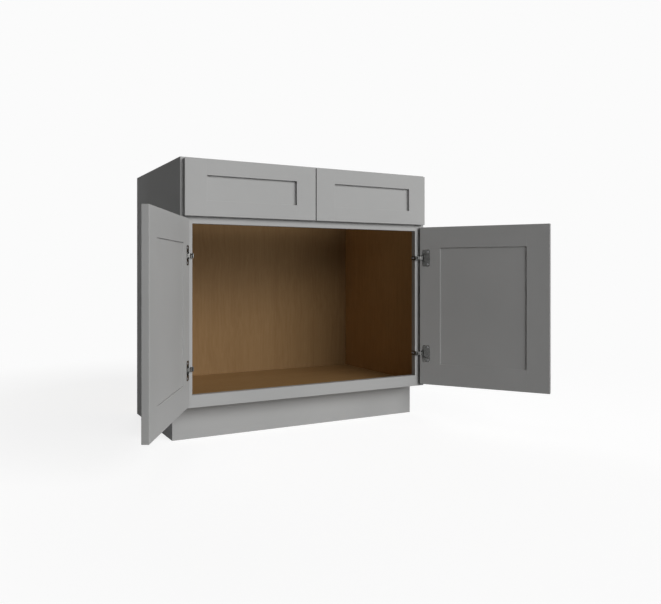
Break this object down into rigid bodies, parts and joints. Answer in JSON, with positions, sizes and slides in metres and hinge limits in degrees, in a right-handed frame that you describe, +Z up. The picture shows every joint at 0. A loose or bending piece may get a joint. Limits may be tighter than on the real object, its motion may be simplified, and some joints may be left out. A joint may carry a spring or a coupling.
{
  "type": "sink base cabinet",
  "caption": "Open-topped kitchen base cabinet for a sink, with a face frame, hinged panelled doors, fixed false drawer fronts and a recessed toe board.",
  "frame": {"origin": "on the floor, at mid width, in the plane of the wall behind the cabinet", "axes": "+X to the cabinet's right as seen from the room, +Y into the wall, +Z up"},
  "size_m": [1.3725, 0.9312, 0.8763],
  "materials": {
    "painted_wood": "satin grey paint",
    "side_panel": "satin grey paint outside, maple veneer inside",
    "maple_plywood": "clear-coated maple veneer",
    "hidden_timber": "bare plywood",
    "hinge_steel": "nickel plated",
    "screw_steel": "zinc plated",
    "brace_plastic": "moulded"
  },
  "bodies": {
    "cabinet": {"back_bottom_nailer": "hidden_timber", "back_panel": "maple_plywood", "back_top_nailer": "hidden_timber", "corner_brace_screws": "screw_steel", "corner_braces": "brace_plastic", "deck_sleeper": "hidden_timber", "floor_deck": "maple_plywood", "frame_bottom_rail": "painted_wood", "frame_middle_rail": "painted_wood", "frame_mullion": "painted_wood", "frame_top_rail": "painted_wood", "front_cleat_screws": "screw_steel", "front_cleats": "hidden_timber", "hinge_arm_pins": "hinge_steel", "hinge_arm_screws": "screw_steel", "left_frame_stile": "painted_wood", "left_front_bottom_rail": "painted_wood", "left_front_inner_stile": "painted_wood", "left_front_outer_stile": "painted_wood", "left_front_panel": "painted_wood", "left_front_top_rail": "painted_wood", "left_lower_hinge_arm": "hinge_steel", "left_side": "side_panel", "left_upper_hinge_arm": "hinge_steel", "right_frame_stile": "painted_wood", "right_front_bottom_rail": "painted_wood", "right_front_inner_stile": "painted_wood", "right_front_outer_stile": "painted_wood", "right_front_panel": "painted_wood", "right_front_top_rail": "painted_wood", "right_lower_hinge_arm": "hinge_steel", "right_side": "side_panel", "right_upper_hinge_arm": "hinge_steel", "toe_board": "painted_wood"},
    "left_hinge_links": {"left_lower_hinge_link": "hinge_steel", "left_upper_hinge_link": "hinge_steel"},
    "left_door": {"left_cup_pins": "hinge_steel", "left_cup_screws": "screw_steel", "left_door_bottom_rail": "painted_wood", "left_door_free_stile": "painted_wood", "left_door_hinge_stile": "painted_wood", "left_door_panel": "painted_wood", "left_door_top_rail": "painted_wood", "left_lower_hinge_cup": "hinge_steel", "left_upper_hinge_cup": "hinge_steel"},
    "right_hinge_links": {"right_lower_hinge_link": "hinge_steel", "right_upper_hinge_link": "hinge_steel"},
    "right_door": {"right_cup_pins": "hinge_steel", "right_cup_screws": "screw_steel", "right_door_bottom_rail": "painted_wood", "right_door_free_stile": "painted_wood", "right_door_hinge_stile": "painted_wood", "right_door_panel": "painted_wood", "right_door_top_rail": "painted_wood", "right_lower_hinge_cup": "hinge_steel", "right_upper_hinge_cup": "hinge_steel"}
  },
  "joints": [
    {"name": "left_link_swing", "type": "hinge", "parent": "cabinet", "child": "left_hinge_links", "pos_m": [-0.4265, -0.543, 0.4], "axis": [0, 0, 1], "range_deg": [-30.38, 1.68]},
    {"name": "left_door_swing", "type": "hinge", "parent": "left_hinge_links", "child": "left_door", "pos_m": [-0.44009, -0.5483, 0.4], "axis": [0, 0, 1], "range_deg": [-8.27, 150.27]},
    {"name": "right_link_swing", "type": "hinge", "parent": "cabinet", "child": "right_hinge_links", "pos_m": [0.4265, -0.543, 0.4], "axis": [0, 0, 1], "range_deg": [-0.44, 31.62]},
    {"name": "right_door_swing", "type": "hinge", "parent": "right_hinge_links", "child": "right_door", "pos_m": [0.43997, -0.54859, 0.4], "axis": [0, 0, 1], "range_deg": [-156.41, 2.13]}
  ],
  "couplings": [
    {"joint": "left_link_swing", "follows": "left_door_swing", "ratio": -0.20211},
    {"joint": "right_link_swing", "follows": "right_door_swing", "ratio": -0.20211}
  ]
}
